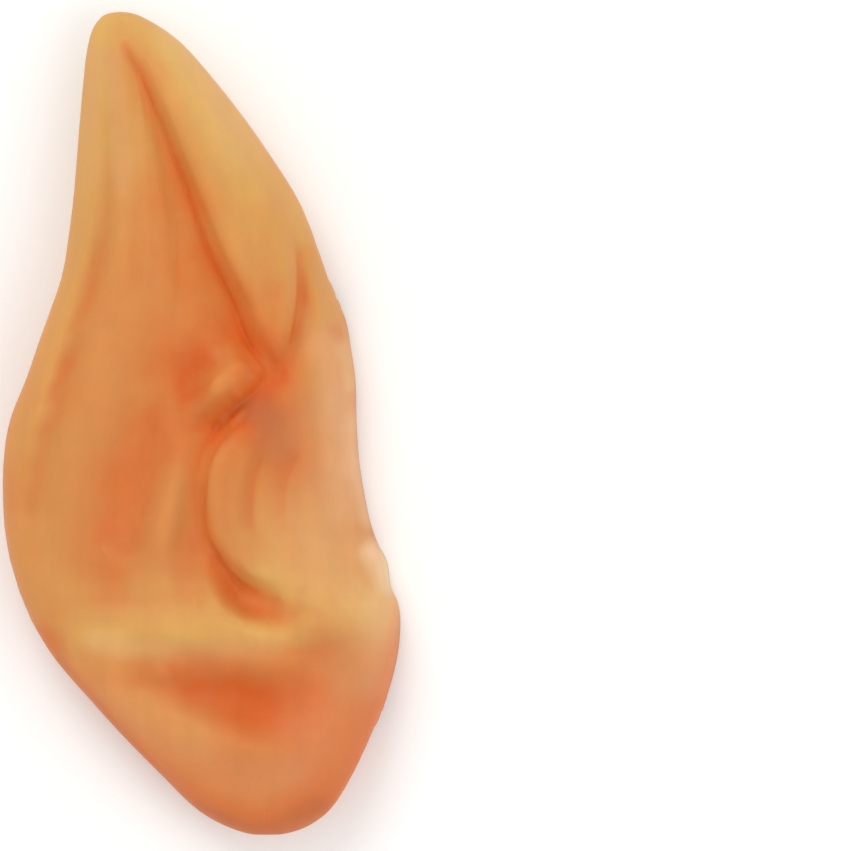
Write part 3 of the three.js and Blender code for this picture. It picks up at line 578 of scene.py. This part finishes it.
class EarSettings(bpy.types.PropertyGroup):
    """Sizes and colours of the ear."""

    detail: bpy.props.IntProperty(
        name="Detail", description="Subdivisions of the shell", default=2, min=0, max=2
    )
    fold_strength: bpy.props.FloatProperty(
        name="Fine folds", description="Height of the fine folds against their tables", default=1.0,
        subtype="FACTOR", min=0.0, max=2.0,
    )
    latex: bpy.props.StringProperty(
        name="Latex", description="Colour of the latex in the middle of the ear", default="#cf8847"
    )
    tip: bpy.props.StringProperty(
        name="Tip", description="Colour of the latex at the tip", default="#d0a359"
    )
    lobe: bpy.props.StringProperty(
        name="Lobe", description="Colour of the latex at the lobe", default="#d08046"
    )
    # Yellow also serves as painted highlight on ridges and painted light on shaded flanks.
    yellow: bpy.props.StringProperty(
        name="Yellow", description="Tint of the raised edges", default="#d9a85b"
    )
    # Red also serves as painted shade in the folds, hollows and on steep sides.
    red: bpy.props.StringProperty(
        name="Red", description="Tint of the folds and hollows", default="#d25f1c"
    )
    # Orange is painted light that lifts the shade in the deepest creases.
    orange: bpy.props.StringProperty(
        name="Orange", description="Tint of the deepest creases", default="#f27830"
    )
    # Brown is painted shadow along the lobe's edge.
    brown: bpy.props.StringProperty(
        name="Brown", description="Tint of the lobe's edge", default="#be6434"
    )
    pink: bpy.props.StringProperty(
        name="Pink", description="Tint of the cheek side", default="#d8996c"
    )
    grey: bpy.props.StringProperty(
        name="Grey", description="Tint of the smudge over the tragus", default="#b0693f"
    )
    # Pale also serves as painted light on shaded slopes.
    pale: bpy.props.StringProperty(
        name="Pale", description="Tint where the latex is thinnest, at the trimmed edge", default="#efcea2"
    )


class StudioSettings(bpy.types.PropertyGroup):
    """Sizes and lights of the studio."""

    floor_size: bpy.props.FloatProperty(
        name="Floor", description="Width of the floor", default=3.0, unit="LENGTH"
    )
    floor_colour: bpy.props.StringProperty(
        name="Floor colour", description="Colour of the floor", default="#fdfdfc"
    )
    camera_height: bpy.props.FloatProperty(
        name="Camera height", description="Height of the camera over the floor", default=0.9, unit="LENGTH"
    )
    view_width: bpy.props.FloatProperty(
        name="View width", description="Width that the camera sees at the ear's rim", default=0.1145,
        unit="LENGTH",
    )
    view_side: bpy.props.FloatProperty(
        name="View centre across", description="Distance of the view's centre from the ear's, to the cheek",
        default=0.0303, unit="LENGTH",
    )
    view_along: bpy.props.FloatProperty(
        name="View centre along", description="Distance of the view's centre from the ear's, to the tip",
        default=-0.3 * MM, unit="LENGTH",
    )
    sky_strength: bpy.props.FloatProperty(
        name="Sky", description="Strength of the even light from all round", default=0.82
    )
    key_power: bpy.props.FloatProperty(
        name="Key light", description="Power of the large light overhead", default=4.2, unit="POWER"
    )
    fill_power: bpy.props.FloatProperty(
        name="Fill light", description="Power of the fill light", default=1.8, unit="POWER"
    )


# Latex: moulded by pouring it into a plaster mould, then tinted. Light goes a few millimetres in, so
# edges and folds glow warm. The skin is satin, with fine pores and soft unevenness from the mould.
def latex_material(settings):
    material = bpy.data.materials.new("moulded_latex")
    material.use_nodes = True
    tree = material.node_tree
    tree.nodes.clear()
    place = add_node(tree, "ShaderNodeTexCoord").outputs["Object"]
    axes = add_node(tree, "ShaderNodeSeparateXYZ", Vector=place)
    half = (SHELL_HIGH.y - SHELL_LOW.y) / 2
    along = add_node(
        tree, "ShaderNodeMapRange", Value=axes.outputs["Y"], From_Min=-half, From_Max=half
    ).outputs["Result"]
    ramp = add_node(tree, "ShaderNodeValToRGB", Fac=along)
    stops = ramp.color_ramp.elements
    stops[0].position, stops[0].color = LOBE_STOP, linear(settings.lobe)
    stops[1].position, stops[1].color = TIP_STOP, linear(settings.tip)
    middle = stops.new(MIDDLE_STOP)
    middle.color = linear(settings.latex)
    colour = ramp.outputs["Color"]

    cloudy = add_node(
        tree, "ShaderNodeTexNoise", {"noise_dimensions": "3D"}, Vector=place, Scale=1 / CLOUD_SIZE,
        Detail=3.0, Roughness=0.6,
    ).outputs["Fac"]
    uneven = add_node(
        tree, "ShaderNodeMapRange", Value=cloudy, From_Min=0.3, From_Max=0.7, To_Min=0.72, To_Max=1.2
    ).outputs["Result"]
    # Each cover mixes in its tint. The covers carry the latex's tints and also painted shade, painted
    # shadow, painted glow and painted highlights, as noted at each tint.
    for tint in TINT_AND_LIGHT_STROKES:
        cover = add_node(tree, "ShaderNodeAttribute", {"attribute_name": tint}).outputs["Fac"]
        uneven_cover = add_node(
            tree, "ShaderNodeMath", {"operation": "MULTIPLY", "use_clamp": True}, n_0=cover, n_1=uneven
        ).outputs["Value"]
        mixed = add_node(
            tree, "ShaderNodeMix", {"data_type": "RGBA"}, n_0=uneven_cover, n_6=colour,
            n_7=linear(getattr(settings, tint)),
        )
        colour = mixed.outputs[RGBA_RESULT]

    blotch = add_node(
        tree, "ShaderNodeTexNoise", Vector=place, Scale=1 / BLOTCH_SIZE, Detail=4.0, Roughness=0.65
    ).outputs["Fac"]
    stretched = add_node(
        tree, "ShaderNodeMapping", Vector=place, Scale=tuple(1 / size for size in STREAK_SIZE)
    ).outputs["Vector"]
    streaks = add_node(
        tree, "ShaderNodeTexNoise", Vector=stretched, Scale=1.0, Detail=2.0, Roughness=0.5
    ).outputs["Fac"]
    mottled = add_node(
        tree, "ShaderNodeMath", {"operation": "ADD"}, n_0=blotch, n_1=streaks
    ).outputs["Value"]
    value = add_node(
        tree, "ShaderNodeMapRange", Value=mottled, From_Min=0.7, From_Max=1.3, To_Min=0.965, To_Max=1.035
    ).outputs["Result"]
    colour = add_node(
        tree, "ShaderNodeHueSaturation", Color=colour, Value=value, Hue=0.5, Saturation=1.0, Fac=1.0
    ).outputs["Color"]

    pores = add_node(
        tree, "ShaderNodeTexNoise", Vector=place, Scale=1 / PORE_SIZE, Detail=2.0, Roughness=0.5
    ).outputs["Fac"]
    lumps = add_node(
        tree, "ShaderNodeTexNoise", Vector=place, Scale=1 / LUMP_SIZE, Detail=2.0, Roughness=0.4
    ).outputs["Fac"]
    soft = add_node(
        tree, "ShaderNodeBump", Height=lumps, Strength=0.35, Distance=LUMP_DEPTH
    ).outputs["Normal"]
    skin = add_node(
        tree, "ShaderNodeBump", Height=pores, Strength=0.25, Distance=PORE_DEPTH, Normal=soft
    ).outputs["Normal"]
    gloss = add_node(
        tree, "ShaderNodeMapRange", Value=blotch, From_Min=0.3, From_Max=0.7, To_Min=0.48, To_Max=0.62
    ).outputs["Result"]

    shader = add_node(
        tree, "ShaderNodeBsdfPrincipled", Base_Color=colour, Roughness=gloss, Normal=skin, IOR=1.45,
        Subsurface_Weight=0.35, Subsurface_Scale=1.0,
    )
    shader.inputs["Subsurface Radius"].default_value = LIGHT_REACH
    shader.inputs["Specular IOR Level"].default_value = 0.3
    add_node(tree, "ShaderNodeOutputMaterial", Surface=shader.outputs["BSDF"])
    return material


def set_attribute(mesh, name, values):
    attribute = mesh.attributes.new(name, "FLOAT", "POINT")
    attribute.data.foreach_set("value", np.asarray(values, np.float32))


def positions(mesh):
    flat = np.empty(len(mesh.vertices) * 3, np.float32)
    mesh.vertices.foreach_get("co", flat)
    return flat.reshape(-1, 3).astype(float)


def set_positions(mesh, places):
    mesh.vertices.foreach_set("co", places.ravel().astype(np.float32))
    mesh.update()


def normals(mesh):
    flat = np.empty(len(mesh.vertices) * 3, np.float32)
    mesh.vertex_normals.foreach_get("vector", flat)
    return flat.reshape(-1, 3).astype(float)


def smoothed(mesh, values, passes):
    """Values at the vertices after they have spread to their neighbours that many times."""
    edges = np.empty(len(mesh.edges) * 2, np.int32)
    mesh.edges.foreach_get("vertices", edges)
    a, b = edges.reshape(-1, 2).T
    count = len(mesh.vertices)
    shares = np.bincount(a, minlength=count) + np.bincount(b, minlength=count)
    for _ in range(passes):
        near = np.bincount(a, values[b], count) + np.bincount(b, values[a], count)
        values = 0.5 * values + 0.5 * near / shares
    return values


class ELFEAR_OT_shell(bpy.types.Operator):
    """Make the latex shell over its CAD solid"""

    bl_idname = "elfear.shell"
    bl_label = "Latex Shell"

    def execute(self, context):
        settings = context.scene.elf_ear
        mesh = self.fine_mesh(context, settings.detail)
        shell = bpy.data.objects.new("latex_ear", mesh)
        context.collection.objects.link(shell)
        front = self.on_front(mesh)
        self.round_creases(mesh, front)
        self.raise_folds(mesh, front, settings.fold_strength)
        self.lay_tints_and_painted_light(mesh, front)
        mesh.materials.clear()
        mesh.materials.append(latex_material(settings))
        mesh.shade_smooth()
        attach(shell, "root")
        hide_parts("ear_shell")
        return {"FINISHED"}

    def fine_mesh(self, context, detail):
        """The solid's mesh with its triangles paired to squares, smoothed by subdivision."""
        work = bmesh.new()
        work.from_mesh(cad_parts["ear_shell"].data)
        bmesh.ops.remove_doubles(work, verts=work.verts[:], dist=SAME_PLACE)
        solid = BVHTree.FromBMesh(work)
        bmesh.ops.join_triangles(
            work, faces=work.faces[:], angle_face_threshold=PAIR_BEND, angle_shape_threshold=PAIR_SKEW
        )
        self.keep_cut_sharp(work)
        coarse = bpy.data.meshes.new("latex_ear_coarse")
        work.to_mesh(coarse)
        work.free()
        helper = bpy.data.objects.new("latex_ear_coarse", coarse)
        context.collection.objects.link(helper)
        smooth = helper.modifiers.new("smooth", "SUBSURF")
        smooth.levels = smooth.render_levels = detail
        wanted = positions(coarse)
        for _ in range(FITTING_PASSES):
            reached = positions(self.applied(context, helper))[: len(wanted)]
            set_positions(coarse, positions(coarse) + wanted - reached)
        mesh = self.applied(context, helper)
        self.hold_to(mesh, solid)
        bpy.data.objects.remove(helper)
        bpy.data.meshes.remove(coarse)
        return mesh

    def keep_cut_sharp(self, work):
        """Crease the trimmed edges of the latex, so that the smoothing leaves them."""
        creases = work.edges.layers.float.new("crease_edge")
        for edge in work.edges:
            low = max(vert.co.z for vert in edge.verts) < CUT_HEIGHT
            if low and edge.calc_face_angle(0) > CUT_ANGLE:
                edge[creases] = CUT_SHARPNESS

    def hold_to(self, mesh, solid):
        """Bring back the vertices that stand too far off the solid or under the flat back."""
        for vertex in mesh.vertices:
            near, _, _, distance = solid.find_nearest(vertex.co)
            if distance > MOST_PROUD:
                vertex.co = near + (vertex.co - near) * (MOST_PROUD / distance)
        places = positions(mesh)
        places[:, 2] = np.maximum(places[:, 2], SHELL_LOW.z)
        set_positions(mesh, places)

    def applied(self, context, helper):
        """A new mesh of the helper as its modifier leaves it. The solid's own corners come first in it."""
        evaluated = helper.evaluated_get(context.evaluated_depsgraph_get())
        mesh = bpy.data.meshes.new_from_object(evaluated)
        mesh.name = "latex_ear"
        return mesh

    def on_front(self, mesh):
        """Which vertices lie on the outside of the front: those that nothing of the shell lies above."""
        work = bmesh.new()
        work.from_mesh(mesh)
        tree = BVHTree.FromBMesh(work)
        work.free()
        up = Vector((0, 0, 1))
        facing = normals(mesh)[:, 2] > FACING_UP
        front = np.zeros(len(facing), bool)
        for i in np.flatnonzero(facing):
            start = mesh.vertices[i].co + up * RAY_START
            front[i] = tree.ray_cast(start, up)[0] is None
        return front

    def round_creases(self, mesh, front):
        """Move the vertices in and beside the rounded creases towards the surface's smooth course."""
        places = positions(mesh)
        share = np.zeros(len(places))
        for crease in ROUNDED_CREASES:
            distance, reached, _ = measure(places[front][:, :2], crease["path"])
            near = crease["share"] * bell(distance / (crease["width"] * MM)) * taper(reached)
            share[front] = np.maximum(share[front], near)
        course = np.stack([smoothed(mesh, axis, ROUNDING_PASSES) for axis in places.T], axis=1)
        set_positions(mesh, places + share[:, None] * (course - places))

    def raise_folds(self, mesh, front, strength):
        """Move the front's vertices along their normals by the fine folds' heights."""
        places = positions(mesh)
        on_front = places[front][:, :2]
        height = np.zeros(len(on_front))
        for fold in FINE_FOLDS:
            distance, reached, left = measure(on_front, fold["path"])
            side = np.where(left, *fold["sides"]) * MM
            height += fold["height"] * MM * bell(distance / side) * taper(reached)
        places[front] += normals(mesh)[front] * (height * strength)[:, None]
        set_positions(mesh, places)

    def lay_tints_and_painted_light(self, mesh, front):
        """Store the cover of each tint at the vertices, from the strokes and from the shape. Red in hollows
        and creases is painted shade together with the latex's redder tint there, red on steep sides is
        painted shade, and yellow on ridges is a painted highlight together with the latex's yellower tint.
        """
        places = positions(mesh)
        stroke_fade = smoothed(mesh, front.astype(float), STROKE_FADE_PASSES)
        reach = np.clip(stroke_fade / STROKE_FADE_AT_SIDE, 0, 1)
        covers = {tint: self.stroke_cover(places, reach, strokes) for tint, strokes in TINT_AND_LIGHT_STROKES.items()}
        facing = normals(mesh)
        broad = self.hollowness(mesh, places, facing, BROAD_PASSES)
        fine = self.hollowness(mesh, places, facing, FINE_PASSES)
        # Painted shade: red on steep sides and in hollows and creases, where shade falls.
        steep = np.clip(1 - facing[:, 2] / STEEP_BELOW, 0, 1)
        tint_and_shade_in_folds = BROAD_SHADE_COVER * np.clip(broad, 0, BROAD_MOST) + FINE_SHADE_COVER * np.clip(fine, 0, FINE_MOST)
        tint_and_shade_in_folds += STEEP_SHADE_COVER * steep
        # Painted highlight: yellow on ridges, together with the latex's yellower tint.
        tint_and_highlight_on_ridges = RIDGE_HIGHLIGHT_COVER * np.clip(-broad, 0, RIDGE_MOST)
        covers["red"] = np.clip(covers["red"] + tint_and_shade_in_folds * reach, 0, 1)
        covers["yellow"] = np.clip(covers["yellow"] + tint_and_highlight_on_ridges * reach, 0, 1)
        for tint, cover in covers.items():
            set_attribute(mesh, tint, cover)

    def stroke_cover(self, places, reach, strokes):
        """The cover that one tint's strokes leave at each vertex."""
        painted = reach > 0
        left_bare = np.ones(len(places))
        for stroke in strokes:
            distance, reached, _ = measure(places[painted][:, :2], stroke["path"])
            width = np.interp(reached, (0, 1), stroke["width"]) * MM
            strength = np.interp(reached, (0, 1), stroke["strength"])
            left_bare[painted] *= 1 - strength * bell(distance / (STROKE_SOFTNESS * width)) * reach[painted]
        return 1 - left_bare

    def hollowness(self, mesh, places, facing, passes):
        """How far each vertex lies under its surroundings, in millimetres. More passes look further."""
        spread = np.stack([smoothed(mesh, axis, passes) for axis in places.T], axis=1)
        return ((spread - places) * facing).sum(axis=1) / MM


class ELFEAR_OT_studio(bpy.types.Operator):
    """Make the floor, the lights and the camera"""

    bl_idname = "elfear.studio"
    bl_label = "Studio"

    def execute(self, context):
        settings = context.scene.elf_studio
        self.make_floor(context, settings)
        self.make_lights(context, settings)
        self.make_camera(context, settings)
        context.scene.view_settings.view_transform = "Standard"
        return {"FINISHED"}

    def make_floor(self, context, settings):
        work = bmesh.new()
        bmesh.ops.create_grid(work, x_segments=1, y_segments=1, size=settings.floor_size / 2)
        bmesh.ops.translate(work, verts=work.verts[:], vec=(0, 0, -FLOOR_DROP))
        mesh = bpy.data.meshes.new("floor")
        work.to_mesh(mesh)
        work.free()
        floor = bpy.data.objects.new("floor", mesh)
        context.collection.objects.link(floor)
        paper = bpy.data.materials.new("white_paper")
        paper.use_nodes = True
        shader = paper.node_tree.nodes["Principled BSDF"]
        shader.inputs["Base Color"].default_value = linear(settings.floor_colour)
        shader.inputs["Roughness"].default_value = 0.9
        shader.inputs["Specular IOR Level"].default_value = 0.1
        mesh.materials.append(paper)

    def make_lights(self, context, settings):
        world = bpy.data.worlds.new("soft_white")
        world.use_nodes = True
        background = world.node_tree.nodes["Background"]
        background.inputs["Color"].default_value = (1, 1, 1, 1)
        background.inputs["Strength"].default_value = settings.sky_strength
        context.scene.world = world
        for row in LIGHTS:
            light = bpy.data.lights.new(row["name"], "AREA")
            light.shape = "DISK"
            light.size = row["size"]
            light.energy = getattr(settings, row["power"])
            lamp = bpy.data.objects.new(row["name"], light)
            lamp.location = row["spot"]
            lamp.rotation_euler = (-Vector(row["spot"])).to_track_quat("-Z", "Y").to_euler()
            lamp.visible_camera = False
            context.collection.objects.link(lamp)

    def make_camera(self, context, settings):
        rim = RIM_SHARE * (SHELL_HIGH.z - SHELL_LOW.z)
        lens = bpy.data.cameras.new("camera")
        lens.sensor_width = SENSOR_WIDTH
        lens.lens = lens.sensor_width * (settings.camera_height - rim) / settings.view_width
        lens.clip_start = NEAREST_SEEN
        camera = bpy.data.objects.new("camera", lens)
        camera.location = (settings.view_side, settings.view_along, settings.camera_height)
        context.collection.objects.link(camera)
        context.scene.camera = camera


class ELFEAR_PT_panel(bpy.types.Panel):
    """Lists the ear's pieces and their settings"""

    bl_idname = "ELFEAR_PT_panel"
    bl_label = "Elf Ear"
    bl_space_type = "VIEW_3D"
    bl_region_type = "UI"
    bl_category = "Elf Ear"

    def draw(self, context):
        layout = self.layout
        groups = [
            (ELFEAR_OT_shell, context.scene.elf_ear),
            (ELFEAR_OT_studio, context.scene.elf_studio),
        ]
        for operator, settings in groups:
            box = layout.box()
            box.operator(operator.bl_idname)
            for name in settings.__annotations__:
                box.prop(settings, name)


CLASSES = (EarSettings, StudioSettings, ELFEAR_OT_shell, ELFEAR_OT_studio, ELFEAR_PT_panel)


def register():
    for cls in CLASSES:
        bpy.utils.register_class(cls)
    bpy.types.Scene.elf_ear = bpy.props.PointerProperty(type=EarSettings)
    bpy.types.Scene.elf_studio = bpy.props.PointerProperty(type=StudioSettings)


def unregister():
    del bpy.types.Scene.elf_studio
    del bpy.types.Scene.elf_ear
    for cls in reversed(CLASSES):
        bpy.utils.unregister_class(cls)


def main():
    register()
    bpy.ops.elfear.shell()
    bpy.ops.elfear.studio()


if __name__ == "__main__":
    main()
